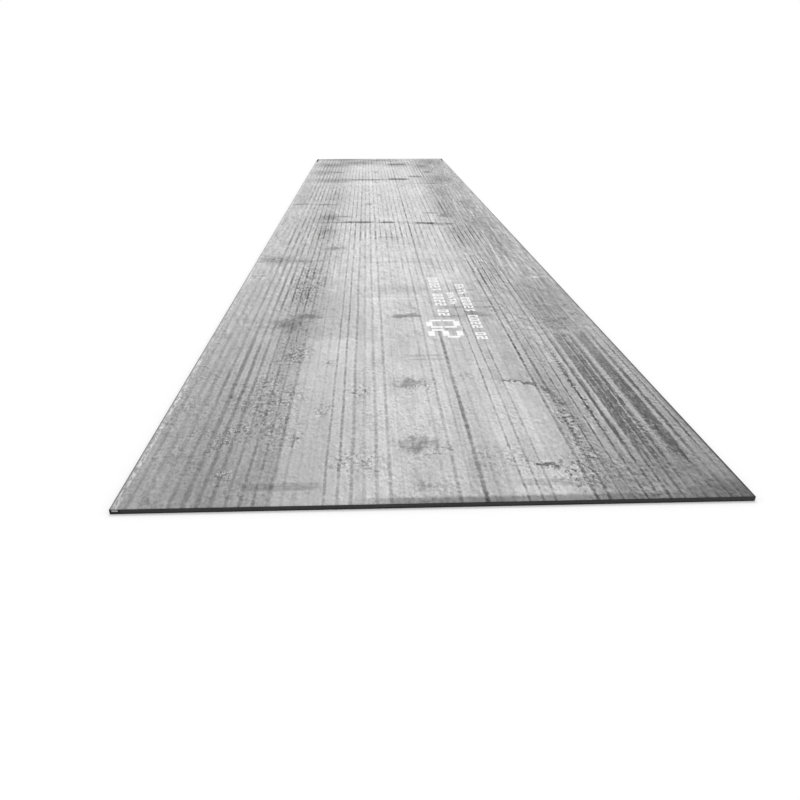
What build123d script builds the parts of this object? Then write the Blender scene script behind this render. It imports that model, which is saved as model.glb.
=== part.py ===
from build123d import *
import os
from math import radians, tan

# Hot-rolled steel plate, cut square on shears along all four edges, in millimetres.
# It lies flat: X runs across the width, Y along the rolling direction and Z up from the underside.

# Stock size
THICKNESS = 20.0
WIDTH = 2200.0
LENGTH = 12000.0

# Sheared edge, in order from the face that the blade entered to the face where the steel tore through
ROLL_OVER_RUN = 5.0  # strip of the entered face that the blade bent down
ROLL_OVER_DEPTH = 2.0  # how far it was bent down at the edge
BURNISHED_LAND = 8.0  # upright band that the blade wiped smooth
FRACTURE_SLANT = 6.0  # degrees that the torn band leans in behind the land


def sheared_edge(side, span, blade_from_above):
    """Draws one edge of a section that is span wide, and returns its highest and lowest points."""
    if blade_from_above:
        entered, torn, stroke = THICKNESS, 0.0, -1
    else:
        entered, torn, stroke = 0.0, THICKNESS, 1
    edge = side * span / 2
    land_start = entered + stroke * ROLL_OVER_DEPTH
    land_end = land_start + stroke * BURNISHED_LAND
    recess = abs(torn - land_end) * tan(radians(FRACTURE_SLANT))
    bend_start = (edge - side * ROLL_OVER_RUN, entered)
    torn_end = (edge - side * recess, torn)
    TangentArc(bend_start, (edge, land_start), tangent=(side, 0))
    Polyline((edge, land_start), (edge, land_end), torn_end)
    return (bend_start, torn_end) if blade_from_above else (torn_end, bend_start)


def plate_section(plane, span, first_from_above, last_from_above):
    """The outline of the plate cut across, with the blade's direction given for its two edges."""
    with BuildSketch(plane) as section:
        with BuildLine():
            first_top, first_bottom = sheared_edge(-1, span, first_from_above)
            last_top, last_bottom = sheared_edge(1, span, last_from_above)
            Line(first_top, last_top)
            Line(first_bottom, last_bottom)
        make_face()
    return section.sketch


# The side trimmer's blades come down outside both long edges
width_section = plate_section(Plane.XZ, WIDTH, True, True)

# The dividing shear's blade comes down past the near end, and presses on the far end of this plate
# when that is cut off in its turn, so there the bent strip is below and the torn band above
length_section = plate_section(Plane.YZ, LENGTH, True, False)

# Each section runs well past the plate, and the other one trims it, which mitres the four corners
steel_plate = extrude(width_section, LENGTH, both=True) & extrude(length_section, WIDTH, both=True)

os.makedirs("parts", exist_ok=True)
export_step(steel_plate, "parts/steel_plate.step")
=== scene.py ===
from math import cos, pi, radians, sqrt, tan

import bmesh
import bpy
from mathutils import Matrix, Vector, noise


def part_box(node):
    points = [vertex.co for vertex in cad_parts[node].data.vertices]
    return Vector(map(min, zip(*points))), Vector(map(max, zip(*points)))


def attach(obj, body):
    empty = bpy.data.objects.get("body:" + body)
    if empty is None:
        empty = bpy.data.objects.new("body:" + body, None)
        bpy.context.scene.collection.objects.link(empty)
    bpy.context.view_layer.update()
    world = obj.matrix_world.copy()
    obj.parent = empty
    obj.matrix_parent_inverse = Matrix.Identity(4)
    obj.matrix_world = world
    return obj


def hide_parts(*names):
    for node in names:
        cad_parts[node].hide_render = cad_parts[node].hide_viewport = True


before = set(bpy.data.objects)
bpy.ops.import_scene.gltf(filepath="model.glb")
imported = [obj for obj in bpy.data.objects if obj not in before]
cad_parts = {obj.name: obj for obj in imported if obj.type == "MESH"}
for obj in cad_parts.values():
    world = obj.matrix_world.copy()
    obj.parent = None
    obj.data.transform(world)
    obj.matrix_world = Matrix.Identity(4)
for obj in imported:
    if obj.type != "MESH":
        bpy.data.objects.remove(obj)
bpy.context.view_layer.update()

# The plate, in metres: X across its width, Y along the rolling direction, Z up from its underside
PLATE_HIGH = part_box("steel_plate")[1]
HALF_WIDTH = PLATE_HIGH.x
HALF_LENGTH = PLATE_HIGH.y
THICKNESS = PLATE_HIGH.z

# Sheared edge, from the face that the blade entered to the face where the steel tore through
ROLL_OVER_RUN = 0.005
ROLL_OVER_DEPTH = 0.002
BURNISHED_LAND = 0.008
FRACTURE_SLANT = radians(6.0)
ROLL_OVER_STEPS = 5
FRACTURE_STEPS = 3
FIELD_SIZE = 0.05  # the plate's mesh is cut into fields of about this size
LAND_WAVE = 0.0016  # how far the lower border of the land wanders
LAND_WAVES = (3.1, 11.0)  # long and short waves of that border in a metre
TEAR_DEPTH = 0.0004  # how uneven the torn band is
TEARS_PER_METRE = (9.0, 300.0)  # along the edge and up
END_NOISE_START = 40.0  # sets the unevenness of the ends apart from that of the sides
FACE_CLEARANCE = 0.0005  # no unevenness this near the upper face or the underside
SAME_LEVEL = 0.0001
FLAT_SHARE = 0.35  # a face whose normal is steeper than this belongs to the upper face or the underside

# Where each side lies in the plate's map: (start, width) of the wide faces, and starts of the narrow ones
MAP_MARGIN = 0.004
MAP_UPPER = (0.004, 0.690)
MAP_UNDER = (0.704, 0.226)
MAP_RIGHT = 0.940
MAP_LEFT = 0.962
MAP_ENDS = 0.984
MAP_EDGE_WIDTH = 0.012
MAP_NEAR_END = 0.0
MAP_FAR_END = 0.52
MAP_END_LENGTH = 0.48

# Noise patterns on the plate, each as
# (features in a metre across, features in a metre along, seed, detail, roughness)
PATTERNS = {
    "ragged": (32, 14, 1.0, 6.0, 0.72),
    "fray": (76, 54, 2.0, 4.0, 0.75),
    "lanes": (1.7, 0.45, 5.0, 3.0, 0.55),
    "drift": (3.0, 1.0, 6.0, 4.0, 0.55),
    "lengthwise": (48, 5, 7.0, 4.0, 0.65),
    "grit": (86, 46, 8.0, 2.0, 0.7),
    "crosswise": (5, 20, 9.0, 3.0, 0.6),
    "mottle": (12, 5, 10.0, 3.0, 0.6),
    "scored": (160, 160, 11.0, 4.0, 0.55),
    "patches": (6, 6, 12.0, 4.0, 0.55),
    "jags": (62, 48, 14.0, 4.0, 0.7),
    "smeared": (6.0, 4.0, 15.0, 3.0, 0.6),
    "frayed": (24.0, 18.0, 16.0, 3.0, 0.6),
    "blotches": (11, 5, 17.0, 6.0, 0.75),
    "feathers": (85, 3.0, 18.0, 4.0, 0.6),
    "wiping": (20, 95, 19.0, 3.0, 0.6),
    "speckle": (140, 55, 21.0, 2.0, 0.7),
    "hollows": (58, 34, 22.0, 3.0, 0.6),
    "lift": (40, 31, 23.0, 4.0, 0.65),
    "chips": (70, 20, 24.0, 5.0, 0.75),
    "clumps": (13, 9, 25.0, 4.0, 0.65),
    "laid": (7.0, 6.0, 26.0, 3.0, 0.6),
    "worn_through": (30, 2.0, 27.0, 4.0, 0.7),
    "waves": (30, 11, 28.0, 3.0, 0.6),
    "holes": (64, 13, 29.0, 4.0, 0.7),
    "rubbed": (26, 14, 31.0, 5.0, 0.7),
    "paint_grain": (180, 120, 32.0, 3.0, 0.55),
    "dots": (92, 54, 35.0, 1.0, 0.5),
    "corner_shadow_paint": (60, 30, 41.0, 3.0, 0.55),
}
PER_METRE_UP = 150.0  # sets the underside's patterns apart from the upper face's
SEED_STEP = (7.31, 3.77, 11.9)  # how far a seed moves a pattern, in features
# Slopes of noise, read as an emboss, for painted light and shade of the relief and painted highlights on
# pit lips
HOLLOW_STEP = (0.005, 0.012)  # slopes are read over this distance across and along
WAVE_STEP = (0.010, 0.032)

# Mill scale: reflectance across the width, near, midway and far along, each as (place across, value)
NEAR_TONE = (
    (-1.10, 0.31), (-1.00, 0.32), (-0.80, 0.29), (-0.62, 0.37), (-0.57, 0.37), (-0.55, 0.36),
    (-0.40, 0.31), (-0.20, 0.56), (0.00, 0.59), (0.20, 0.50), (0.45, 0.48), (0.54, 0.43),
    (0.58, 0.30), (0.70, 0.31), (0.78, 0.31), (0.90, 0.28), (1.02, 0.25), (1.10, 0.23),
)
MIDWAY_TONE = (
    (-1.10, 0.40), (-1.00, 0.41), (-0.80, 0.42), (-0.64, 0.37), (-0.56, 0.40), (-0.50, 0.43),
    (-0.40, 0.47), (-0.20, 0.56), (0.00, 0.57), (0.20, 0.54), (0.45, 0.49), (0.55, 0.47),
    (0.60, 0.41), (0.755, 0.40), (0.77, 0.33), (0.90, 0.33), (1.02, 0.34), (1.10, 0.34),
)
FAR_TONE = (
    (-1.10, 0.46), (-1.00, 0.48), (-0.80, 0.50), (-0.62, 0.48), (-0.54, 0.51), (-0.40, 0.55),
    (-0.20, 0.61), (0.00, 0.62), (0.20, 0.57), (0.45, 0.58), (0.55, 0.52), (0.60, 0.46),
    (0.76, 0.38), (0.90, 0.37), (1.02, 0.38), (1.10, 0.38),
)
NEAR_TO_MIDWAY = (-5.4, -3.9)
MIDWAY_TO_FAR = (-3.6, -2.2)
SOILED_END = (-6.0, -5.1)
NEAR_TO_FAR = (-4.0, -1.5)  # where grain and streaks pass from the near kind to the far kind
FINE_RELIEF_END = (-5.0, -3.8)

# Coarseness of the scale's grain across the width
NEAR_COARSENESS = (
    (-1.10, 1.20), (-0.60, 1.20), (-0.50, 0.90), (0.50, 0.90), (0.58, 1.80), (1.10, 1.80),
)
FAR_COARSENESS = (
    (-1.10, 1.25), (-0.60, 1.25), (-0.45, 0.95), (0.50, 0.95), (0.62, 1.85), (1.10, 1.85),
)

# Descaling streaks: one under each nozzle of the water spray, stronger in some strips than in others
STREAK_PITCH = 0.047
STREAK_START = 0.175  # the strongest streak, from which the others are counted
SECOND_STREAK = 0.553  # another strong one, at the border of the coarse strip
CLOSE_FROM = 0.60  # from here to the right edge the nozzles stand closer together
CLOSE_PITCH = 0.0417
STREAK_WIDTH = 0.0085
STREAK_DARKNESS = 0.90
STRONG_EXTRA = 0.45
LEFTMOST = (-0.76, -0.70)
NEAR_STREAKS = (
    (-1.10, 0.10), (-1.02, 0.38), (-0.96, 0.20), (-0.90, 0.44), (-0.76, 0.46), (-0.69, 0.45),
    (-0.62, 0.55), (-0.56, 0.34), (-0.43, 0.22), (-0.39, 0.72), (-0.335, 0.80), (-0.29, 0.58),
    (-0.25, 0.28), (-0.20, 0.45), (-0.14, 0.50), (-0.10, 0.10), (0.01, 0.08), (0.04, 0.30),
    (0.09, 0.52), (0.13, 0.22), (0.16, 0.80), (0.19, 0.80), (0.22, 0.22), (0.28, 0.18),
    (0.32, 0.80), (0.415, 0.60), (0.46, 0.12), (0.52, 0.14), (0.54, 1.10), (0.69, 0.50),
    (0.77, 0.90), (1.08, 0.35),
)
FAR_STREAKS = (
    (-1.10, 0.05), (-0.95, 0.12), (-0.915, 0.55), (-0.86, 0.50), (-0.70, 0.50), (-0.61, 0.65),
    (-0.57, 0.45), (-0.43, 0.42), (-0.38, 0.58), (-0.29, 0.55), (-0.25, 0.36), (-0.20, 0.60),
    (-0.10, 0.45), (0.00, 0.42), (0.09, 0.52), (0.14, 0.48), (0.165, 1.05), (0.19, 1.05), (0.22, 0.40),
    (0.33, 0.50), (0.42, 0.58), (0.48, 0.42), (0.53, 0.42), (0.56, 0.55), (0.61, 0.65),
    (0.66, 0.60), (0.72, 0.50), (0.78, 0.40), (0.94, 0.60), (1.05, 0.30), (1.10, 0.10),
)

# Dark glassy bands beside the right edge: where they lie across, and how far they reach along
BAND_DARKNESS = 0.66
BAND_SHARE = (
    (0.700, 0.15), (0.722, 0.42), (0.736, 0.36), (0.745, 0.15), (0.758, 0.20), (0.764, 0.66),
    (0.775, 0.56), (0.784, 0.30), (0.790, 0.10), (0.804, 0.12), (0.810, 0.80), (0.838, 0.78),
    (0.844, 0.26), (0.850, 0.76), (0.870, 0.74), (0.878, 0.10), (0.886, 0.70), (0.900, 0.66),
    (0.907, 0.05), (0.928, 0.05), (0.936, 0.74), (0.984, 0.76), (0.992, 0.05), (1.003, 0.10),
    (1.010, 0.74), (1.018, 0.70), (1.026, 0.15), (1.052, 0.20), (1.060, 0.60), (1.068, 0.10),
)
BAND_STRIP = (0.70, 1.07)
BAND_START = (-6.10, -5.40)
BAND_END = (-4.35, -3.90)
BAND_FADE = (-5.0, -4.2)  # where the bands pale towards their far end
CLOUDED_FROM = (-4.4, -3.9)  # from here on the strip beside the right edge is an even grey
CLOUDED_SIDE = (0.75, 0.79)

# A patch at the near end where the top layer of scale has come off: middle and half sizes
SHED_MIDDLE = (0.30, -5.60)
SHED_HALF = (0.335, 0.73)
CLEAN_SIDE = -0.565  # the left border of the clean scale beside that patch
CLEAN_END = -4.18

# Marks on the upper face, each as (place across, place along, half width, half length, strength)
STAINS = (
    (-0.80, 4.95, 0.36, 0.45, 1.10), (-0.35, 5.30, 0.46, 0.45, 1.30), (-0.05, 5.70, 0.46, 0.34, 1.30),
    (-0.55, 5.85, 0.56, 0.28, 1.20), (0.30, 5.00, 0.30, 0.40, 0.80), (-0.90, 3.90, 0.28, 0.42, 0.90),
    (0.76, 3.05, 0.28, 0.55, 0.70), (-0.72, 2.90, 0.34, 0.36, 0.80), (0.85, 5.40, 0.26, 0.50, 0.80),
    (0.68, 1.70, 0.15, 0.60, 0.65), (0.64, 0.50, 0.14, 0.60, 0.70), (0.64, -1.20, 0.15, 0.60, 0.80),
    (-0.63, -0.20, 0.16, 0.40, 0.75), (-0.62, -1.00, 0.15, 0.40, 0.50), (-0.62, 1.40, 0.16, 0.60, 0.45),
    (0.92, -3.50, 0.22, 0.70, 0.45), (-0.92, -2.20, 0.26, 0.16, 0.45), (0.64, -2.80, 0.14, 0.50, 0.25),
    (0.02, -3.15, 0.34, 0.20, 0.45), (-0.70, -3.95, 0.17, 0.20, 0.65), (0.90, -5.75, 0.20, 0.25, 0.55),
    (0.90, -1.00, 0.15, 1.20, 0.55), (0.36, -3.70, 0.24, 0.22, 0.40), (0.90, 0.60, 0.12, 0.70, 0.50),
    (-1.00, 1.60, 0.10, 1.20, 0.35), (0.96, 2.00, 0.12, 0.80, 0.40), (0.62, 4.70, 0.18, 0.40, 0.80),
)
SMUDGES = (
    (-0.01, -3.77, 0.13, 0.065, 1.30), (0.03, -3.60, 0.08, 0.12, 0.70), (-0.03, -4.88, 0.13, 0.12, 0.85),
    (-0.05, -5.55, 0.11, 0.085, 1.00), (-0.04, -5.90, 0.10, 0.07, 0.85), (0.23, -4.83, 0.12, 0.08, 0.45),
    (-0.60, -3.74, 0.16, 0.12, 1.00), (-0.66, -3.95, 0.15, 0.22, 1.05), (-0.52, -1.75, 0.17, 0.14, 0.75),
    (-0.62, -0.20, 0.14, 0.28, 1.05), (0.60, -0.10, 0.14, 0.24, 0.95), (0.62, -1.20, 0.10, 0.40, 0.60),
    (-0.62, -1.00, 0.12, 0.32, 0.85), (-0.09, 3.90, 0.05, 0.16, 1.00), (-0.08, 1.42, 0.05, 0.14, 1.00),
    (0.66, 4.75, 0.13, 0.26, 1.15), (0.68, 3.90, 0.13, 0.30, 0.90), (0.62, 0.70, 0.10, 0.40, 0.65),
    (-0.10, 2.70, 0.06, 0.18, 0.85), (-0.95, -2.20, 0.20, 0.15, 0.90), (0.40, -3.75, 0.18, 0.16, 0.70),
    (-0.62, -3.20, 0.14, 0.50, 0.45), (-0.85, -5.05, 0.07, 0.12, 0.60), (0.86, -3.90, 0.20, 0.30, 0.55),
)
BARS = (
    (0.42, -3.60, 0.18, 0.030, 0.55), (0.36, -3.79, 0.20, 0.030, 0.50), (0.47, -3.46, 0.10, 0.026, 0.30),
    (0.42, -3.18, 0.10, 0.030, 0.35), (0.06, -4.50, 0.13, 0.018, 0.32), (0.09, -4.56, 0.11, 0.018, 0.32),
    (-0.53, -5.87, 0.14, 0.030, 0.50), (0.47, -5.87, 0.19, 0.030, 0.50), (-0.53, -5.50, 0.005, 0.080, 1.00),
    (-0.56, -4.58, 0.05, 0.018, 0.55), (-0.68, -4.56, 0.05, 0.014, 0.45), (-0.95, -5.62, 0.06, 0.012, 0.25),
    (-0.43, -4.60, 0.006, 0.045, 1.00), (-0.80, -2.24, 0.24, 0.040, 0.50),
    (0.40, -5.735, 0.011, 0.012, 1.80), (0.445, -5.730, 0.028, 0.012, 1.80),
    (0.465, -5.755, 0.012, 0.014, 1.60),
)
FAR_BARS = (
    (-0.60, -0.50, 0.14, 0.060, 0.55), (-0.33, -0.49, 0.20, 0.060, 0.85), (-0.03, -0.51, 0.09, 0.060, 0.85),
    (0.12, -0.50, 0.06, 0.060, 0.35), (0.33, -0.56, 0.14, 0.060, 0.90), (0.52, -0.62, 0.12, 0.060, 0.60),
    (0.21, 3.02, 0.16, 0.120, 0.90), (-0.25, 2.96, 0.33, 0.080, 0.75), (0.47, 3.32, 0.11, 0.110, 0.70),
    (0.25, 5.02, 0.19, 0.150, 0.75), (-0.98, 0.72, 0.10, 0.060, 0.55), (-0.67, 0.68, 0.12, 0.060, 0.55),
    (-0.21, 0.70, 0.06, 0.060, 0.55), (0.15, -2.30, 0.40, 0.035, 0.16), (-0.02, -1.28, 0.12, 0.040, 0.25),
    (0.60, 2.55, 0.33, 0.060, 0.40), (-0.50, -0.15, 0.12, 0.040, 0.60), (0.45, 0.05, 0.10, 0.040, 0.55),
    (-0.68, 3.90, 0.12, 0.090, 0.60), (0.77, 3.02, 0.25, 0.420, 0.32), (-0.64, 2.92, 0.10, 0.140, 0.40),
    (0.72, 1.80, 0.16, 0.450, 0.18), (-0.36, -0.50, 0.40, 0.055, 0.30), (0.36, -0.57, 0.28, 0.055, 0.30),
    (-0.10, 2.97, 0.60, 0.070, 0.22), (-0.82, 0.70, 0.24, 0.050, 0.22),
)
COMBED = (
    (0.70, -1.15, 0.15, 0.55, 1.90), (0.66, 0.60, 0.13, 0.50, 1.30), (0.68, 3.95, 0.13, 0.50, 0.70),
    (-0.66, -1.00, 0.14, 0.40, 0.80), (-0.66, -0.15, 0.14, 0.30, 0.90), (-0.68, 1.50, 0.14, 0.70, 0.60),
    (-0.66, -3.00, 0.16, 0.70, 1.00), (-0.10, -1.00, 0.45, 0.45, 0.60), (0.66, -2.60, 0.14, 0.50, 1.10),
    (0.72, -5.20, 0.10, 0.60, 0.80), (-0.80, -4.70, 0.16, 0.60, 0.25), (0.78, -2.95, 0.05, 0.35, 0.80),
)
WORN = (
    (-0.05, 4.40, 0.45, 0.32, 1.00), (-0.25, 2.52, 0.65, 0.20, 1.00), (0.18, 1.75, 0.36, 0.55, 0.70),
    (0.20, -1.95, 0.50, 0.28, 0.70), (-0.20, -1.55, 0.30, 0.16, 0.60), (-0.92, 0.10, 0.12, 0.40, 0.80),
    (0.38, -2.80, 0.20, 0.20, 0.70), (0.30, 3.80, 0.20, 0.40, 0.60), (0.175, -3.30, 0.04, 0.90, 0.80),
)
SCUFFS = (
    (0.985, -2.83, 0.075, 0.020, 1.30), (-0.05, -3.38, 0.24, 0.016, 0.70), (0.10, -3.30, 0.30, 0.014, 0.45),
    (0.90, -2.45, 0.12, 0.030, 0.40), (-0.30, -2.70, 0.35, 0.020, 0.35), (0.96, 1.30, 0.12, 0.060, 0.60),
)
FLAKED = (
    (-0.62, -4.40, 0.13, 0.34, 1.00), (-0.68, -5.06, 0.18, 0.40, 1.00), (-0.745, -5.76, 0.05, 0.05, 1.40),
    (-0.44, -5.20, 0.05, 0.10, 1.20), (-0.82, -5.40, 0.12, 0.25, 0.90), (-0.27, -5.75, 0.08, 0.08, 0.40),
    (-0.53, -5.50, 0.03, 0.10, 1.40), (-0.70, -4.18, 0.05, 0.06, 1.00), (0.44, -5.74, 0.05, 0.030, 0.50),
    (1.04, -4.70, 0.04, 0.40, 0.80), (-1.06, -4.60, 0.03, 0.80, 0.60), (0.60, -5.05, 0.02, 0.03, 0.60),
    (-0.43, -4.61, 0.03, 0.06, 1.40), (0.30, -5.72, 0.06, 0.06, 0.40), (-0.64, -2.95, 0.12, 0.60, 1.20),
)
PITTED = (
    (0.605, -5.45, 0.045, 0.40, 1.2), (0.44, -5.74, 0.07, 0.035, 1.00), (0.54, -5.80, 0.14, 0.15, 0.95),
    (-0.28, -5.70, 0.12, 0.12, 0.65), (0.30, -5.70, 0.14, 0.14, 0.50), (0.727, -4.95, 0.022, 0.60, 1.10),
    (-0.62, -5.20, 0.12, 0.38, 0.60), (-0.64, -3.00, 0.12, 0.60, 1.20), (-0.28, -4.98, 0.05, 0.08, 0.80),
    (0.02, -4.93, 0.10, 0.07, 0.60), (0.92, -5.50, 0.10, 0.25, 0.60), (-0.64, -1.00, 0.12, 0.50, 0.80),
    (-0.52, -5.46, 0.020, 0.10, 1.20), (-0.42, -4.60, 0.022, 0.05, 1.10), (-0.42, -5.20, 0.04, 0.06, 0.90),
    (-0.58, -4.45, 0.07, 0.16, 0.90), (0.02, -5.60, 0.10, 0.06, 0.60), (-0.74, -5.40, 0.06, 0.10, 0.90),
)
LEAN = 0.033  # how far drag lines drift to the right in a metre along
DRAGGED_SIDE = (0.66, 0.78)
DRAGGED_FROM = (-4.2, -3.4)
DRAG_LINES = (
    (0.881, -1.33, 0.007, 2.10, 1.00), (0.744, 0.87, 0.009, 0.95, 1.00), (0.945, -1.90, 0.005, 1.20, 0.55),
    (0.985, -0.40, 0.007, 1.50, 0.60), (1.060, -1.60, 0.005, 1.30, 0.50), (0.820, 0.90, 0.008, 1.10, 0.60),
    (0.680, -2.60, 0.006, 0.60, 0.80), (0.715, -0.35, 0.008, 0.40, 0.90), (0.640, -0.30, 0.008, 0.40, 0.80),
    (0.900, 2.60, 0.009, 1.20, 0.50), (1.020, -3.60, 0.005, 0.80, 0.45), (0.925, -3.40, 0.005, 0.70, 0.40),
)

# How far each kind of mark darkens the scale, and the least share of its tone that is left
STAIN_DARKNESS = 0.42
SMUDGE_DARKNESS = 0.55
BAR_DARKNESS = 0.80
PIT_DARKNESS = 0.88
# Cracks in the scale, partly painted shade on the dark side of the flakes' relief
CRACK_DARKNESS = 0.80
# Painted shadow at the step of the scale layer round the shed patch
STEP_SHADOW_DARKNESS = 0.75
SPECK_DARKNESS = 0.42
LEAST_TONE = 0.06

# Reflectance that each kind of light mark adds
SCUFF_LIGHT = 0.25
# Painted highlights on flake edges and pit lips
FLAKE_HIGHLIGHT = 0.22
# Painted highlight in a line near the left edge
HIGHLIGHT_LINE_LIGHT = 0.36
SHED_LIGHT = 0.12
GAP_LIGHT = 0.10
DRAG_LIGHT = 0.26
FLECK_LIGHT = 0.09

# How far the painted light and shade of the relief, streak margins and faint drag lines sway the tone
LIT_SLOPE_SHARE = 0.17
SHADED_SLOPE_SHARE = 0.22
MARGIN_SHARE = 0.16
FAINT_SHARE = 1.6

# Gloss and the depth of the finest relief
SCALE_ROUGHNESS = 0.46
SCALE_SPECULAR = 0.30
EDGE_ROUGHNESS = 0.62
EDGE_SPECULAR = 0.25
PAINT_ROUGHNESS = 0.60
CORNER_SHADOW_ROUGHNESS = 0.95
FINEST_RELIEF = 0.0006

# Reflectance of the sheared edge, its dab, fresh and rubbed paint, and the dark dabs of painted shadow on
# the far corners
EDGE_TONE = 0.036
DAB_LIGHT = 0.42
PAINT_TONE = (0.97, 0.88)
CORNER_SHADOW_TONE = 0.012

# Along the edges of the upper face
# Painted highlight: a bright broken line near the left edge, as if the rounded edge caught the light
HIGHLIGHT_LINE = -1.084
HIGHLIGHT_LINE_WIDTH = 0.016
# Painted shade: thin dark rims along the right and left edges
RIGHT_RIM_SHADE = (1.086, 1.093)
LEFT_RIM_SHADE = (-1.098, -1.093)
WIPED_STRIP = (-5.975, -5.950)
# Painted shade in the near right corner
NEAR_CORNER_SHADE = ((1.06, -5.97, 0.26, 0.17, 1.0),)
END_DAB = (-1.082, 0.0125, 0.011, 0.0035)  # place across, height, half width and half height
# Painted shade on a sheared edge: under its rolled-over top, and at its foot
ROLL_OVER_SHADE = (0.0140, 0.0175)  # heights on a sheared edge between which it darkens upward
FOOT_SHADE = (0.0020, 0.0050)  # and downward

# Painted shadow on the far corners: thin dark dabs, each as (across, along, half width, half length)
CORNER_SHADOW_DEPTH = 0.0002
CORNER_SHADOW_SEGMENTS = 24
CORNER_SHADOW_TOP = 0.95
CORNER_SHADOW = ((-1.080, 5.72, 0.012, 0.26), (1.082, 5.82, 0.012, 0.16))

# Painted numbers: the plate's size and weight in dots, each row as
# (figures, place across, start along, tallness, length)
PAINT_DEPTH = 0.0003
DOT_ROWS = (
    ("20 2200 12000", 0.232, -3.78, 0.070, 0.98),
    ("4143", 0.318, -3.52, 0.045, 0.30),
    ("20 2200 12000 4143", 0.402, -4.24, 0.060, 1.24),
)
DOT_COLUMNS = 3
DOT_LINES = 5
DOT_SPREAD = 0.60  # a dot's radius as a share of the gap between dots
DOT_SEGMENTS = 8
DOT_TOP = 0.90
DOT_FIGURES = {
    "0": ("###", "#.#", "#.#", "#.#", "###"),
    "1": (".#.", "##.", ".#.", ".#.", "###"),
    "2": ("###", "..#", "###", "#..", "###"),
    "3": ("###", "..#", "###", "..#", "###"),
    "4": ("#.#", "#.#", "###", "..#", "..#"),
}

# Stencilled thickness: seven bars to a figure, as
# (middle along the line, middle up, length along, length up)
STENCIL_FOOT = 0.305
STENCIL_START = -4.21
STENCIL_STEP = 0.185
STENCIL_BARS = {
    "top": (0.08, 0.178, 0.090, 0.036), "middle": (0.08, 0.097, 0.090, 0.036),
    "foot": (0.08, 0.018, 0.090, 0.036),
    "upper_left": (0.016, 0.138, 0.032, 0.070), "upper_right": (0.144, 0.138, 0.032, 0.070),
    "lower_left": (0.016, 0.058, 0.032, 0.070), "lower_right": (0.144, 0.058, 0.032, 0.070),
}
STENCIL_FIGURES = (
    ("top", "upper_right", "middle", "lower_left", "foot"),
    ("top", "upper_left", "upper_right", "lower_left", "lower_right", "foot"),
)

# Camera, where the photograph was taken from
EYE = (-0.219, -8.275, 1.350)
EYE_TILT = radians(67.33)
EYE_TURN = radians(-2.315)
LENS = 34.75
SENSOR = 36.0

# Studio
SKY_LIGHT = 0.68
LAMP_ENERGY = 1.15
LAMP_SOFTNESS = radians(35.0)
LAMP_TILT = radians(32.0)
FLOOR_SIZE = 400.0
FLOOR_COLOUR = (0.86, 0.86, 0.86, 1.0)
FLOOR_LIFT = 0.16


class Field:
    """A number that varies over a surface: a node's output, with sums written as in a formula."""

    def __init__(self, finish, socket):
        self.finish = finish
        self.socket = socket

    def __add__(self, other):
        return self.finish.math("ADD", self, other)

    def __sub__(self, other):
        return self.finish.math("SUBTRACT", self, other)

    def __rsub__(self, other):
        return self.finish.math("SUBTRACT", other, self)

    def __mul__(self, other):
        return self.finish.math("MULTIPLY", self, other)

    def __truediv__(self, other):
        return self.finish.math("DIVIDE", self, other)

    def __abs__(self):
        return self.finish.math("ABSOLUTE", self)

    __radd__ = __add__
    __rmul__ = __mul__

    def floor(self):
        return self.finish.math("FLOOR", self)

    def most(self, other):
        return self.finish.math("MAXIMUM", self, other)

    def over(self, other):
        return self.finish.math("GREATER_THAN", self, other)

    def rise(self, start, end):
        """0 up to start, 1 from end on, and a soft step between them."""
        return self.finish.soft_step(self, start, end, 0.0, 1.0)

    def fall(self, start, end):
        """1 up to start, 0 from end on, and a soft step between them."""
        return self.finish.soft_step(self, start, end, 1.0, 0.0)


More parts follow.
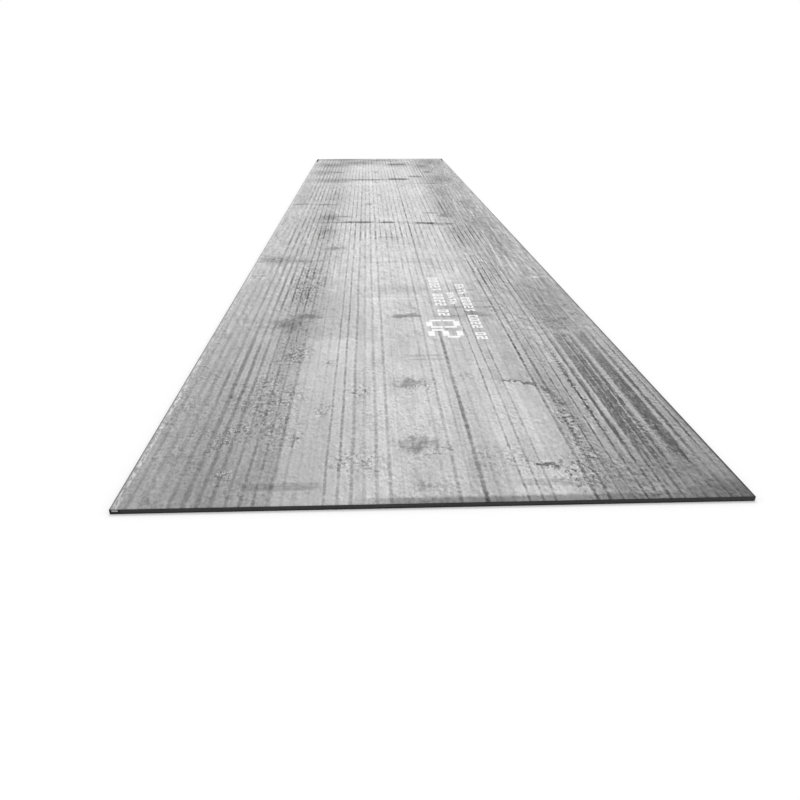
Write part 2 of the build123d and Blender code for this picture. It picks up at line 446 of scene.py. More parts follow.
class Finish:
    """A material whose patterns are worked out from the place on the plate."""

    def __init__(self, name):
        self.material = bpy.data.materials.new(name)
        self.material.use_nodes = True
        self.tree = self.material.node_tree
        self.shader = self.tree.nodes["Principled BSDF"]
        place = self.node("ShaderNodeTexCoord").outputs["Object"]
        parts = self.node("ShaderNodeSeparateXYZ", Vector=place)
        self.across, self.along, self.up = (Field(self, parts.outputs[i]) for i in range(3))
        self.place = place

    def node(self, kind, **inputs):
        made = self.tree.nodes.new(kind)
        for name, value in inputs.items():
            self.feed(made.inputs[name], value)
        return made

    def feed(self, socket, value):
        if isinstance(value, Field):
            value = value.socket
        if isinstance(value, bpy.types.NodeSocket):
            self.tree.links.new(value, socket)
        else:
            socket.default_value = value

    def math(self, operation, *values):
        made = self.tree.nodes.new("ShaderNodeMath")
        made.operation = operation
        for socket, value in zip(made.inputs, values):
            self.feed(socket, value)
        return Field(self, made.outputs[0])

    def soft_step(self, value, start, end, first, last):
        made = self.node("ShaderNodeMapRange", Value=value)
        made.interpolation_type = "SMOOTHSTEP"
        for name, limit in (("From Min", start), ("From Max", end), ("To Min", first), ("To Max", last)):
            self.feed(made.inputs[name], limit)
        return Field(self, made.outputs["Result"])

    def mix(self, share, first, last):
        made = self.node("ShaderNodeMix", Factor=share, A=first, B=last)
        return Field(self, made.outputs["Result"])

    def vector(self, operation, *values):
        made = self.tree.nodes.new("ShaderNodeVectorMath")
        made.operation = operation
        for socket, value in zip(made.inputs, values):
            self.feed(socket, value)
        return made

    def noise(self, pattern, moved):
        """The noise node of a named pattern, moved by some metres across and along."""
        per_metre_across, per_metre_along, seed, detail, roughness = PATTERNS[pattern]
        scale = (per_metre_across, per_metre_along, PER_METRE_UP)
        shift = (
            seed * SEED_STEP[0] - moved[0] * per_metre_across,
            seed * SEED_STEP[1] - moved[1] * per_metre_along,
            seed * SEED_STEP[2],
        )
        spread = self.vector("MULTIPLY_ADD", self.place, scale, shift).outputs[0]
        return self.node("ShaderNodeTexNoise", Vector=spread, Scale=1.0, Detail=detail, Roughness=roughness)

    def cloud(self, pattern, moved=(0.0, 0.0)):
        """Soft noise from 0 to 1."""
        return Field(self, self.noise(pattern, moved).outputs[0])

    def swing(self, pattern):
        """Soft noise to either side of 0."""
        return self.cloud(pattern) - 0.5

    def wandering(self, pattern, across, along):
        """The place on the plate, pushed about by noise so that marks get ragged outlines."""
        made = self.noise(pattern, (0.0, 0.0))
        centred = self.vector("SUBTRACT", made.outputs["Color"], (0.5, 0.5, 0.5))
        reach = (2 * across, 2 * along, 0.0)
        return self.vector("MULTIPLY_ADD", centred.outputs[0], reach, self.place).outputs[0]

    def marks(self, place, rows, core, rim, squared=False):
        """The marks of a list, round or squared, each full inside a core and gone at a rim of its size."""
        total = None
        for x, y, half_width, half_length, strength in rows:
            size = (1 / half_width, 1 / half_length, 0.0)
            middle = (-x / half_width, -y / half_length, 0.0)
            spot = self.vector("MULTIPLY_ADD", place, size, middle).outputs[0]
            if squared:
                spot = self.vector("MULTIPLY", spot, spot).outputs[0]
            reach = self.vector("LENGTH", spot)
            mark = self.soft_step(reach.outputs["Value"], core, rim, strength, 0.0)
            total = mark if total is None else total.most(mark)
        return total

    def cloud_at(self, first, second, seed, detail=2.0):
        """Soft noise at two worked-out places, for patterns that go by the number of a streak."""
        spot = self.node("ShaderNodeCombineXYZ", X=first, Y=second, Z=seed)
        made = self.node("ShaderNodeTexNoise", Vector=spot.outputs[0], Scale=1.0, Detail=detail)
        return Field(self, made.outputs[0])

    def chance(self, number, seed):
        """A number from 0 to 1 that jumps from each whole number to the next."""
        made = self.tree.nodes.new("ShaderNodeTexWhiteNoise")
        made.noise_dimensions = "1D"
        self.feed(made.inputs["W"], number + seed)
        return Field(self, made.outputs["Value"])

    def profile(self, place, stops):
        """A value that follows stops across the plate."""
        low, high = stops[0][0], stops[-1][0]
        made = self.tree.nodes.new("ShaderNodeValToRGB")
        ramp = made.color_ramp
        while len(ramp.elements) < len(stops):
            ramp.elements.new(1.0)
        for element, (at, value) in zip(ramp.elements, stops):
            element.position = (at - low) / (high - low)
            element.color = (value, value, value, 1.0)
        self.feed(made.inputs["Fac"], (place - low) / (high - low))
        return Field(self, made.outputs["Color"])

    def bump(self, height):
        made = self.node("ShaderNodeBump", Height=height, Distance=FINEST_RELIEF, Strength=1.0)
        self.feed(self.shader.inputs["Normal"], made.outputs["Normal"])


def scale_tone(finish, ragged):
    """The scale's reflectance before any marks."""
    place = finish.across + finish.swing("lanes") * 0.03 + ragged * 0.02
    to_midway = finish.along.rise(*NEAR_TO_MIDWAY)
    to_far = finish.along.rise(*MIDWAY_TO_FAR)
    tone = finish.mix(to_midway, finish.profile(place, NEAR_TONE), finish.profile(place, MIDWAY_TONE))
    tone = finish.mix(to_far, tone, finish.profile(place, FAR_TONE))
    drift = finish.swing("drift") * 0.60
    mottle = finish.swing("mottle") * 0.30
    soiled_end = finish.along.fall(*SOILED_END) * 0.10
    return tone * (1.0 + drift + mottle - soiled_end)


def scale_grain(finish):
    """Fine unevenness of the scale, drawn out along the rolling direction, and how coarse it is."""
    far = finish.along.rise(*NEAR_TO_FAR)
    near_coarseness = finish.profile(finish.across, NEAR_COARSENESS)
    coarseness = finish.mix(far, near_coarseness, finish.profile(finish.across, FAR_COARSENESS))
    lengthwise = (finish.cloud("lengthwise").rise(0.36, 0.64) - 0.5) * 0.30
    lengthwise = lengthwise * (0.55 + far * 0.45)
    grit = finish.swing("grit") * 0.80
    crosswise = finish.swing("crosswise") * 0.20
    return (lengthwise + grit) * coarseness + crosswise, coarseness


def descaling_streaks(finish):
    """The dark streaks that the water spray left, their bright margins, and a tone for each strip."""
    near = finish.along.fall(*NEAR_TO_FAR)
    leftmost = finish.across.fall(*LEFTMOST)
    strongest = abs(finish.across - STREAK_START).fall(0.020, 0.024) * near * STRONG_EXTRA
    strongest = strongest + abs(finish.across - SECOND_STREAK).fall(0.016, 0.020) * near * STRONG_EXTRA

    # The number of the nearest streak, and how far beside it a place lies
    counted = (finish.across - STREAK_START) / STREAK_PITCH
    counted = counted + (finish.across - CLOSE_FROM).most(0.0) * (1 / CLOSE_PITCH - 1 / STREAK_PITCH)
    number = (counted + 0.5).floor()
    sway = finish.cloud_at(number * 2.3, finish.along * 1.2, 6.0) - 0.5
    shift = (finish.chance(number, 3.5) - 0.5) * 0.12 + sway * 0.26
    beside = abs(counted - number - shift) * STREAK_PITCH + finish.swing("fray") * 0.022

    # How strong it is there
    dashes = finish.cloud_at(number * 3.7, finish.along * 2.2, 2.0, detail=3.0).rise(0.36, 0.60)
    far_dashes = finish.cloud_at(number * 6.1, finish.along * 4.0, 12.0, detail=3.0).rise(0.38, 0.60)
    kept = finish.mix(near, 0.40 + 0.88 * far_dashes, 0.65 + 0.35 * dashes)
    far_strength = finish.profile(finish.across, FAR_STREAKS)
    strength = finish.mix(near, far_strength, finish.profile(finish.across, NEAR_STREAKS)) * kept
    combed = finish.marks(finish.place, COMBED, core=0.3, rim=1.4) * dashes
    strength = strength + combed * 0.55
    clouded = finish.across.rise(*CLOUDED_SIDE) * finish.along.rise(*CLOUDED_FROM)
    worn = finish.marks(finish.place, WORN, core=0.4, rim=1.4)
    strength = strength * (1.0 - clouded * 0.5) * (1.0 - worn * 0.7)

    # Its width, its gaps and its margins
    beads = finish.cloud_at(number * 5.1, finish.along * 27.0, 4.0, detail=4.0)
    broad = 1.25 - near * 0.25 + leftmost * 0.55 + strongest
    width = STREAK_WIDTH * broad * (0.75 + 0.5 * finish.chance(number, 9.5)) * (0.80 + 0.4 * beads)
    gappy = 0.62 - strongest * 0.3 - leftmost * 0.35
    dark = beside.fall(width * 0.40, width * 0.80) * (1.0 - gappy * beads.fall(0.37, 0.58))
    bright = beside.rise(width * 0.80, width * 1.10) * beside.fall(width * 1.10, width * 2.40)
    strip = finish.chance((counted - shift).floor(), 13.5) - 0.5
    return dark * strength, bright * (strength + combed * 2.0), strip * 0.10 + worn * 0.08


def glassy_bands(finish):
    """Long dark patches of glassy scale beside the right edge, ending in feathers, and the bright gaps."""
    jags = finish.swing("jags")
    feathers = finish.swing("feathers")
    low, high = BAND_STRIP
    share = finish.profile(finish.across + jags * 0.030, BAND_SHARE)
    in_strip = finish.across.rise(low - 0.02, low) * finish.across.fall(high, high + 0.01)
    in_zone = finish.along.rise(*BAND_START) * finish.along.fall(*BAND_END)
    dark = (share + feathers * 1.1 + jags * 0.4 + in_zone - 1.0).rise(0.36, 0.50) * in_strip
    paling = 1.0 - finish.along.rise(*BAND_FADE) * 0.40
    bright = (share - feathers * 0.8).fall(0.12, 0.38) * in_zone * in_strip
    holes = finish.cloud("holes").rise(0.52, 0.60)
    return dark * paling * (1.0 + feathers * 1.2) * (1.0 - holes * 0.55), bright


def drag_lines(finish):
    """Light lines that lean across the strip beside the right edge, from loads dragged over it."""
    leaning = finish.vector("MULTIPLY_ADD", finish.along, (-LEAN, 0.0, 0.0), finish.place).outputs[0]
    worn_through = finish.cloud("worn_through").rise(0.38, 0.56)
    drawn = finish.marks(leaning, DRAG_LINES, core=0.2, rim=1.3, squared=True) * worn_through
    from_side = (finish.across - finish.along * LEAN) * 46.0
    faint = finish.cloud_at(from_side, finish.along * 0.9, 33.0, detail=3.0)
    beside = finish.across.rise(*DRAGGED_SIDE) * finish.along.rise(*DRAGGED_FROM)
    return drawn, (faint - 0.5) * beside


def shed_scale(finish, ragged):
    """The patch without its top layer of scale, and the dark broken rim of the layer round it, which is
    painted shadow at the layer's step.
    """
    across = (finish.across + ragged * 0.08 - SHED_MIDDLE[0]) / SHED_HALF[0]
    along = (finish.along + ragged * 0.16 - SHED_MIDDLE[1]) / SHED_HALF[1]
    reach = across * across * across * across + along * along * along * along
    # The rim is painted shadow along the step of the layer round the patch
    rim = abs(reach - 1.0).fall(0.02, 0.15) * ragged.rise(-0.16, 0.02)
    rim = rim * finish.across.rise(0.38, 0.42) * finish.along.rise(-5.5, -5.1)
    patch = reach.fall(0.92, 1.02) * finish.across.rise(0.18, 0.36)
    from_side = finish.across + ragged * 0.03 - CLEAN_SIDE
    from_end = finish.along + ragged * 0.40 - CLEAN_END
    clean = from_side.rise(-0.004, 0.004) * from_side.fall(0.10, 0.45) * from_end.fall(-0.08, 0.04)
    return (patch * 0.6).most(clean), rim


def edge_marks(finish):
    """Darkness and brightness along the edges of the upper face: painted shade in thin rims along both
    sides and in the near right corner, a wiped strip at the near end, and a painted highlight line near the
    left edge.
    """
    chips = finish.cloud("chips")
    # Painted highlight in a broken line near the left edge
    from_line = abs(finish.across - HIGHLIGHT_LINE) + (chips - 0.5) * HIGHLIGHT_LINE_WIDTH
    bright = from_line.fall(HIGHLIGHT_LINE_WIDTH * 0.3, HIGHLIGHT_LINE_WIDTH * 0.8) * chips.rise(0.44, 0.56)
    bright = bright * (0.5 + 0.5 * finish.along.fall(-4.6, -4.2))
    # Painted shade in thin rims along the right and left edges
    rim = finish.across.rise(*RIGHT_RIM_SHADE) * (0.35 + 0.40 * finish.along.fall(-2.0, 2.0))
    rim = rim.most(finish.across.fall(*LEFT_RIM_SHADE) * 0.60)
    from_end = finish.along + (chips - 0.5) * 0.03
    wiped = from_end.fall(*WIPED_STRIP) * finish.across.rise(-0.40, -0.05)
    wiped = wiped * (0.55 - 0.20 * finish.across.rise(0.30, 0.90))
    # Painted shade darkening the near right corner
    corner = finish.marks(finish.place, NEAR_CORNER_SHADE, core=0.0, rim=1.2) * 0.55
    return rim.most(wiped).most(corner), bright


def dirt_marks(finish, smeared, frayed, ragged, hollows):
    """How dark stains, smudges and the bars where packing lay make the scale."""
    blotches = finish.swing("blotches")
    wiping = finish.swing("wiping")
    laid = finish.wandering("laid", 0.05, 0.045)
    stains = finish.marks(smeared, STAINS, core=0.0, rim=1.3) * (1.0 + blotches * 2.0 + ragged * 0.8)
    smudges = finish.marks(smeared, SMUDGES, core=0.0, rim=1.4) + blotches * 1.5 + ragged * 0.6
    smudges = (smudges + wiping * 0.8 + (hollows - 0.5) * 1.6).rise(0.32, 1.05)
    bars = finish.marks(frayed, BARS, core=0.3, rim=1.3, squared=True)
    bars = bars * (0.8 + blotches * 1.6 + wiping * 2.0 + (hollows - 0.5) * 2.0)
    far_bars = finish.marks(laid, FAR_BARS, core=0.2, rim=1.3, squared=True)
    far_bars = far_bars * (1.0 + blotches * 2.0 + ragged * 2.2)
    dirt = (stains * STAIN_DARKNESS).most(smudges * SMUDGE_DARKNESS)
    return dirt.most(bars * BAR_DARKNESS).most(far_bars * BAR_DARKNESS)


def pits_and_flakes(finish, smeared, frayed, clumps, hollows, slopes):
    """Where the scale is pitted and where it is cracked, and painted highlights where its flake edges and
    pit lips would catch the light; the cracks are partly the shaded side of that painted relief.
    """
    pit_zones = finish.marks(frayed, PITTED, core=0.3, rim=1.5) * clumps.rise(0.26, 0.50)
    dots = finish.cloud("dots").rise(0.56, 0.62)
    pits = pit_zones * dots.most(hollows.rise(0.54, 0.60) * 0.55)
    flake_zones = finish.marks(smeared, FLAKED, core=0.4, rim=1.4) * clumps.rise(0.37, 0.51)
    lift = finish.swing("lift")
    # Cracks and lit flake edges are paired lines: cracked scale, with painted shade and painted highlight
    # of its relief
    cracks = flake_zones * abs(lift).fall(0.010, 0.032)
    lit_flake_edges = flake_zones * abs(lift - 0.050).fall(0.012, 0.034)
    return pits, cracks, lit_flake_edges.most(pit_zones * slopes.rise(0.06, 0.14))


def painted_relief_light(finish, slopes, clumps, coarseness):
    """Painted light and shade of the scale's relief: lighter on slopes of a noise relief that face one way,
    darker on those that face the other, finer at the near end than beyond it.
    """
    waves = finish.cloud("waves") - finish.cloud("waves", moved=WAVE_STEP)
    relief = finish.mix(finish.along.rise(*FINE_RELIEF_END), slopes, waves)
    uneven = (0.15 + clumps.rise(0.45, 0.60) * 0.85) * coarseness
    return uneven * relief.rise(0.03, 0.10), uneven * relief.fall(-0.10, -0.03)


def mill_scale():
    """Grey scale of the rolled faces, streaked along the length."""
    finish = Finish("mill_scale")
    upper = finish.up.over(THICKNESS / 2)
    ragged = finish.swing("ragged")
    speckle = finish.cloud("speckle")
    clumps = finish.cloud("clumps")
    hollows = finish.cloud("hollows")
    slopes = hollows - finish.cloud("hollows", moved=HOLLOW_STEP)
    smeared = finish.wandering("smeared", 0.06, 0.10)
    frayed = finish.wandering("frayed", 0.02, 0.014)

    streaks, margins, strips = descaling_streaks(finish)
    grain, coarseness = scale_grain(finish)
    lit_slopes, shaded_slopes = painted_relief_light(finish, slopes, clumps, coarseness)
    pits, cracks, flake_and_pit_highlights = pits_and_flakes(finish, smeared, frayed, clumps, hollows, slopes)
    scuffs = finish.marks(frayed, SCUFFS, core=0.4, rim=1.3) * speckle.rise(0.36, 0.54)
    bands, gaps = glassy_bands(finish)
    drawn, faint = drag_lines(finish)
    shed, rim = shed_scale(finish, ragged)
    edge_shade_and_wiping, edge_highlight = edge_marks(finish)

    # What darkens the scale: marks on the upper face only, streaks and specks on both faces. Among the
    # upper face's marks is painted shade: the rim at the shed layer's step, the thin rims along both sides,
    # the near right corner and, in part, the cracks.
    soil_and_shade = dirt_marks(finish, smeared, frayed, ragged, hollows).most(bands * BAND_DARKNESS)
    soil_and_shade = soil_and_shade.most(pits * PIT_DARKNESS).most(cracks * CRACK_DARKNESS).most(rim * STEP_SHADOW_DARKNESS)
    soil_and_shade = soil_and_shade.most(edge_shade_and_wiping)
    streaks = streaks * (1.0 - upper * bands * 0.8)
    specks = speckle.fall(0.31, 0.38) * SPECK_DARKNESS
    dark = (1.0 - upper * soil_and_shade).most(LEAST_TONE) * (1.0 - streaks * STREAK_DARKNESS).most(LEAST_TONE)
    dark = dark * (1.0 - specks)

    # What lightens it, painted highlights on flake edges, pit lips and near the left edge among it
    light = scuffs * SCUFF_LIGHT + flake_and_pit_highlights * FLAKE_HIGHLIGHT + edge_highlight * HIGHLIGHT_LINE_LIGHT
    light = light + shed * SHED_LIGHT + gaps * GAP_LIGHT + drawn * DRAG_LIGHT
    flecks = speckle.rise(0.62, 0.72) * FLECK_LIGHT

    # Painted light and shade of the relief sway the tone here too
    unevenness = grain + lit_slopes * LIT_SLOPE_SHARE - shaded_slopes * SHADED_SLOPE_SHARE
    unevenness = unevenness + strips + margins * MARGIN_SHARE + faint * FAINT_SHARE
    tone = scale_tone(finish, ragged) * (1.0 + unevenness).most(0.3)
    colour = tone * dark + upper * light * (1.0 - edge_shade_and_wiping) + flecks * dark
    finish.feed(finish.shader.inputs["Base Color"], colour)
    finish.feed(finish.shader.inputs["Roughness"], SCALE_ROUGHNESS + streaks * 0.12 + upper * soil_and_shade * 0.35)
    finish.shader.inputs["Specular IOR Level"].default_value = SCALE_SPECULAR
    finish.bump(grain * 0.4 - streaks * 0.3 - upper * (pits + cracks + rim) * 0.5)
    return finish.material


def sheared_steel():
    """Dark sheared edge: the wiped land above and the torn band below, with painted shade at its top and
    foot and a pale dab at the near end.
    """
    finish = Finish("sheared_steel")
    scored = finish.cloud("scored")
    patches = finish.cloud("patches")
    x, z, half_width, half_height = END_DAB
    at_end = finish.along.fall(-HALF_LENGTH + 0.01, -HALF_LENGTH + 0.02)
    beside = abs(finish.across - x) + (scored - 0.5) * 0.004
    above = abs(finish.up - z) + (scored - 0.5) * 0.002
    dab = beside.fall(half_width * 0.8, half_width) * above.fall(half_height * 0.7, half_height) * at_end
    ring = beside.fall(half_width * 1.4, half_width * 2.0) * at_end
    colour = EDGE_TONE + (scored - 0.5) * 0.03 + (patches - 0.5) * 0.03
    # Painted shade: darker under the rolled-over top and at the foot of the edge
    bands = 1.15 - finish.up.rise(*ROLL_OVER_SHADE) * 0.65 - finish.up.fall(*FOOT_SHADE) * 0.50
    colour = colour * bands * (1.0 - ring * 0.75) + dab * DAB_LIGHT
    finish.feed(finish.shader.inputs["Base Color"], colour)
    finish.shader.inputs["Roughness"].default_value = EDGE_ROUGHNESS
    finish.shader.inputs["Specular IOR Level"].default_value = EDGE_SPECULAR
    finish.bump(scored)
    return finish.material


def worn_paint():
    """White marking paint, rubbed thin in places."""
    finish = Finish("worn_paint")
    rubbed = finish.cloud("rubbed").rise(0.42, 0.66)
    grain = finish.swing("paint_grain") * 0.25
    finish.feed(finish.shader.inputs["Base Color"], finish.mix(rubbed, *PAINT_TONE) * (1.0 + grain))
    finish.feed(finish.shader.inputs["Roughness"], PAINT_ROUGHNESS + rubbed * 0.15)
    return finish.material


def corner_shadow_paint():
    """Dull black for the dabs of painted shadow on the far corners."""
    finish = Finish("corner_shadow_paint")
    finish.feed(finish.shader.inputs["Base Color"], CORNER_SHADOW_TONE + finish.cloud("corner_shadow_paint") * 0.02)
    finish.shader.inputs["Roughness"].default_value = CORNER_SHADOW_ROUGHNESS
    finish.shader.inputs["Specular IOR Level"].default_value = 0.0
    return finish.material


def edge_inset(depth):
    """How far a sheared edge stands in from the outline, by the depth below the face that was cut."""
    if depth < ROLL_OVER_DEPTH:
        radius = (ROLL_OVER_RUN**2 + ROLL_OVER_DEPTH**2) / (2 * ROLL_OVER_DEPTH)
        depth = max(depth, 0.0)
        return ROLL_OVER_RUN - sqrt(2 * radius * depth - depth**2)
    return max(depth - ROLL_OVER_DEPTH - BURNISHED_LAND, 0.0) * tan(FRACTURE_SLANT)


def edge_levels():
    """Heights at which the plate's outline changes, from the underside up."""
    bend = [ROLL_OVER_DEPTH * (1 - cos(pi / 2 * i / ROLL_OVER_STEPS)) for i in range(ROLL_OVER_STEPS + 1)]
    land_end = ROLL_OVER_DEPTH + BURNISHED_LAND
    torn = [land_end + (THICKNESS - land_end) * i / FRACTURE_STEPS for i in range(FRACTURE_STEPS + 1)]
    depths = bend + torn
    heights = [THICKNESS - depth for depth in depths] + depths
    return sorted({round(height, 6) for height in heights})


def set_outline(face, height):
    """Moves a face's four corners to the plate's outline at a height: the far end was cut from below."""
    side = HALF_WIDTH - edge_inset(THICKNESS - height)
    near = HALF_LENGTH - edge_inset(THICKNESS - height)
    far = HALF_LENGTH - edge_inset(height)
    for vert in face.verts:
        vert.co.x = side if vert.co.x > 0 else -side
        vert.co.y = far if vert.co.y > 0 else -near
        vert.co.z = height


def cut_into_fields(form):
    """Divides the plate's long edges evenly, so that its faces become small fields."""
    for axis, half_span in ((1, HALF_LENGTH), (0, HALF_WIDTH)):
        ends = [(edge, edge.verts[0].co[axis] - edge.verts[1].co[axis]) for edge in form.edges]
        long_edges = [edge for edge, reach in ends if abs(reach) > half_span]
        count = round(2 * half_span / FIELD_SIZE)
        bmesh.ops.subdivide_edges(form, edges=long_edges, cuts=count - 1, use_grid_fill=True)


def roughen_edges(form):
    """Lets the land's border wander and the torn band stand in unevenly, as a shear leaves them."""
    land_low = THICKNESS - ROLL_OVER_DEPTH - BURNISHED_LAND
    for vert in form.verts:
        at_side = HALF_WIDTH - abs(vert.co.x) < ROLL_OVER_RUN
        at_end = HALF_LENGTH - abs(vert.co.y) < ROLL_OVER_RUN
        if at_side == at_end or not FACE_CLEARANCE < vert.co.z < THICKNESS - FACE_CLEARANCE:
            continue
        along = vert.co.y if at_side else vert.co.x + END_NOISE_START
        if abs(vert.co.z - land_low) < SAME_LEVEL:
            long_wave = noise.noise((along * LAND_WAVES[0], vert.co.x, 2.0))
            short_wave = noise.noise((along * LAND_WAVES[1], vert.co.x, 5.0))
            vert.co.z += (long_wave + 0.5 * short_wave) * LAND_WAVE
        tear = (along * TEARS_PER_METRE[0], vert.co.z * TEARS_PER_METRE[1], 8.0)
        inward = abs(noise.noise(tear)) * TEAR_DEPTH
        torn = vert.co.z < land_low if vert.co.y < HALF_LENGTH - ROLL_OVER_RUN else vert.co.z > land_low
        if torn and at_side:
            vert.co.x -= inward if vert.co.x > 0 else -inward
        if torn and at_end:
            vert.co.y -= inward if vert.co.y > 0 else -inward


def lay_out_for_baking(form):
    """Gives each side of the plate a place of its own in the map that the finish is baked to."""
    layer = form.loops.layers.uv.new("OFBake")
    for face in form.faces:
        for loop in face.loops:
            across = (loop.vert.co.x + HALF_WIDTH) / (2 * HALF_WIDTH)
            along = (loop.vert.co.y + HALF_LENGTH) / (2 * HALF_LENGTH)
            up = loop.vert.co.z / THICKNESS
            if abs(face.normal.z) > FLAT_SHARE:
                start, width = MAP_UPPER if face.normal.z > 0 else MAP_UNDER
                spot = (start + width * across, along)
            elif abs(face.normal.x) > abs(face.normal.y):
                start = MAP_RIGHT if face.normal.x > 0 else MAP_LEFT
                spot = (start + MAP_EDGE_WIDTH * up, along)
            else:
                start = MAP_FAR_END if face.normal.y > 0 else MAP_NEAR_END
                spot = (MAP_ENDS + MAP_EDGE_WIDTH * up, start + MAP_END_LENGTH * across)
            loop[layer].uv = (spot[0], MAP_MARGIN + (1 - 2 * MAP_MARGIN) * spot[1])


def rolled_plate():
    """The plate as rolled and sheared: its outline drawn up through the thickness, then cut into fields."""
    form = bmesh.new()
    levels = edge_levels()
    bmesh.ops.create_grid(form, x_segments=1, y_segments=1, size=1.0)
    form.faces.ensure_lookup_table()
    face = form.faces[0]
    set_outline(face, levels[0])
    for height in levels[1:]:
        drawn = bmesh.ops.extrude_face_region(form, geom=[face], use_keep_orig=True)
        if height != levels[1]:
            bmesh.ops.delete(form, geom=[face], context="FACES_ONLY")
        face = next(part for part in drawn["geom"] if isinstance(part, bmesh.types.BMFace))
        set_outline(face, height)
    bmesh.ops.recalc_face_normals(form, faces=form.faces[:])
    cut_into_fields(form)
    roughen_edges(form)
    form.normal_update()
    lay_out_for_baking(form)
    return as_piece("rolled_plate", form)


def as_piece(name, form):
    """Makes an object of a finished bmesh."""
    mesh = bpy.data.meshes.new(name)
    form.to_mesh(mesh)
    form.free()
    piece = bpy.data.objects.new(name, mesh)
    bpy.context.scene.collection.objects.link(piece)
    return piece


def add_dab(form, across, along, half_width, half_length, depth, segments, top_share):
    """Adds a thin round dab that lies on the upper face, its top smaller than its foot."""
    spot = Matrix.Translation((across, along, THICKNESS + depth / 2))
    size = Matrix.Diagonal((half_width, half_length, 1.0, 1.0))
    bmesh.ops.create_cone(
        form,
        cap_ends=True,
        segments=segments,
        radius1=1.0,
        radius2=top_share,
        depth=depth,
        matrix=spot @ size,
    )


def dotted_numbers():
    """Rows of figures sprayed in dots, read along the plate from its near end."""
    form = bmesh.new()
    for figures, across, start, tallness, length in DOT_ROWS:
        up_gap = tallness / DOT_LINES
        along_gap = length / (len(figures) * (DOT_COLUMNS + 1))
        half_width = DOT_SPREAD * up_gap
        half_length = DOT_SPREAD * along_gap
        for place, figure in enumerate(figures):
            for line, dots in enumerate(DOT_FIGURES.get(figure, ())):
                for column, dot in enumerate(dots):
                    if dot == "#":
                        x = across - tallness / 2 + (line + 0.5) * up_gap
                        y = start + (place * (DOT_COLUMNS + 1) + column + 0.5) * along_gap
                        add_dab(form, x, y, half_width, half_length, PAINT_DEPTH, DOT_SEGMENTS, DOT_TOP)
    return as_piece("dotted_numbers", form)


def stencilled_number():
    """The plate's thickness in tall figures, each of separate stencil bars."""
    form = bmesh.new()
    for place, bars in enumerate(STENCIL_FIGURES):
        for bar in bars:
            along, up, length, tallness = STENCIL_BARS[bar]
            x = STENCIL_FOOT - up
            y = STENCIL_START + place * STENCIL_STEP + along
            spot = Matrix.Translation((x, y, THICKNESS + PAINT_DEPTH / 2))
            size = Matrix.Diagonal((tallness, length, PAINT_DEPTH, 1.0))
            bmesh.ops.create_cube(form, size=1.0, matrix=spot @ size)
    return as_piece("stencilled_number", form)


def corner_shadow_dabs():
    """Thin dark dabs on the far corners, painted shadow."""
    form = bmesh.new()
    for across, along, half_width, half_length in CORNER_SHADOW:
        add_dab(form, across, along, half_width, half_length, CORNER_SHADOW_DEPTH, CORNER_SHADOW_SEGMENTS, CORNER_SHADOW_TOP)
    return as_piece("corner_shadow_dabs", form)


plate = rolled_plate()
plate.data.materials.append(mill_scale())
plate.data.materials.append(sheared_steel())
for polygon in plate.data.polygons:
    polygon.material_index = 0 if abs(polygon.normal.z) > FLAT_SHARE else 1
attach(plate, "root")
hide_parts("steel_plate")

paint = worn_paint()
for marking in (dotted_numbers(), stencilled_number()):
    marking.data.materials.append(paint)
    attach(marking, "root")

# Dark dabs of painted shadow on the far corners
shadow_dabs = corner_shadow_dabs()
shadow_dabs.data.materials.append(corner_shadow_paint())
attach(shadow_dabs, "root")


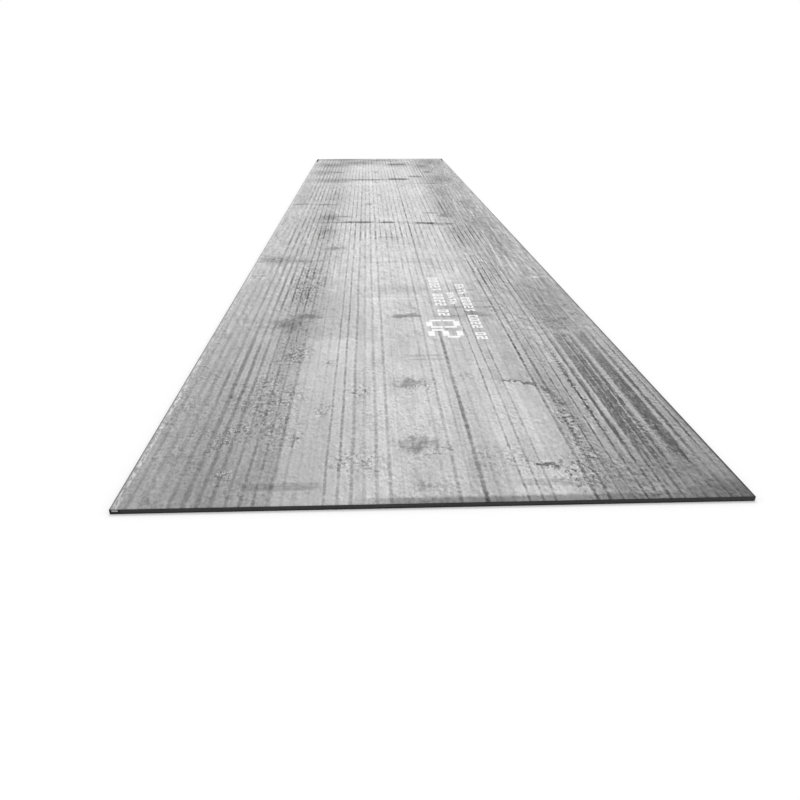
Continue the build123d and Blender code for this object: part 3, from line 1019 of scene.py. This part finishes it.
def studio_floor():
    """A plain pale floor that keeps the plate's shadow."""
    form = bmesh.new()
    bmesh.ops.create_grid(form, x_segments=1, y_segments=1, size=FLOOR_SIZE / 2)
    floor = as_piece("floor", form)
    material = bpy.data.materials.new("pale_floor")
    material.use_nodes = True
    tree = material.node_tree
    shader = tree.nodes["Principled BSDF"]
    shader.inputs["Base Color"].default_value = FLOOR_COLOUR
    shader.inputs["Roughness"].default_value = 1.0
    shader.inputs["Specular IOR Level"].default_value = 0.0
    shader.inputs["Emission Color"].default_value = (1.0, 1.0, 1.0, 1.0)
    rays = tree.nodes.new("ShaderNodeLightPath")
    lift = tree.nodes.new("ShaderNodeMath")
    lift.operation = "MULTIPLY"
    lift.inputs[1].default_value = FLOOR_LIFT
    tree.links.new(rays.outputs["Is Camera Ray"], lift.inputs[0])
    tree.links.new(lift.outputs[0], shader.inputs["Emission Strength"])
    floor.data.materials.append(material)


def white_surround():
    """Even white light from all round, white where the camera or a gloss sees it."""
    world = bpy.data.worlds.new("studio")
    world.use_nodes = True
    bpy.context.scene.world = world
    tree = world.node_tree
    background = tree.nodes["Background"]
    background.inputs["Color"].default_value = (1.0, 1.0, 1.0, 1.0)
    rays = tree.nodes.new("ShaderNodeLightPath")
    seen = rays.outputs["Is Camera Ray"]
    for ray in ("Is Glossy Ray", "Is Transmission Ray"):
        most = tree.nodes.new("ShaderNodeMath")
        most.operation = "MAXIMUM"
        tree.links.new(seen, most.inputs[0])
        tree.links.new(rays.outputs[ray], most.inputs[1])
        seen = most.outputs[0]
    strength = tree.nodes.new("ShaderNodeMapRange")
    strength.inputs["To Min"].default_value = SKY_LIGHT
    strength.inputs["To Max"].default_value = 1.0
    tree.links.new(seen, strength.inputs["Value"])
    tree.links.new(strength.outputs["Result"], background.inputs["Strength"])


def soft_lamp():
    """One broad lamp from above and behind the far end."""
    lamp = bpy.data.lights.new("soft_lamp", "SUN")
    lamp.energy = LAMP_ENERGY
    lamp.angle = LAMP_SOFTNESS
    holder = bpy.data.objects.new("soft_lamp", lamp)
    holder.rotation_euler = (-LAMP_TILT, 0.0, 0.0)
    bpy.context.scene.collection.objects.link(holder)


def photo_camera():
    """The camera, at the place and with the lens that the plate's edges in the photograph give."""
    camera = bpy.data.objects.new("camera", bpy.data.cameras.new("camera"))
    camera.data.lens = LENS
    camera.data.sensor_width = SENSOR
    camera.data.clip_end = FLOOR_SIZE
    camera.location = EYE
    camera.rotation_euler = (EYE_TILT, 0.0, EYE_TURN)
    bpy.context.scene.collection.objects.link(camera)
    bpy.context.scene.camera = camera


studio_floor()
white_surround()
soft_lamp()
photo_camera()
bpy.context.scene.view_settings.view_transform = "Standard"
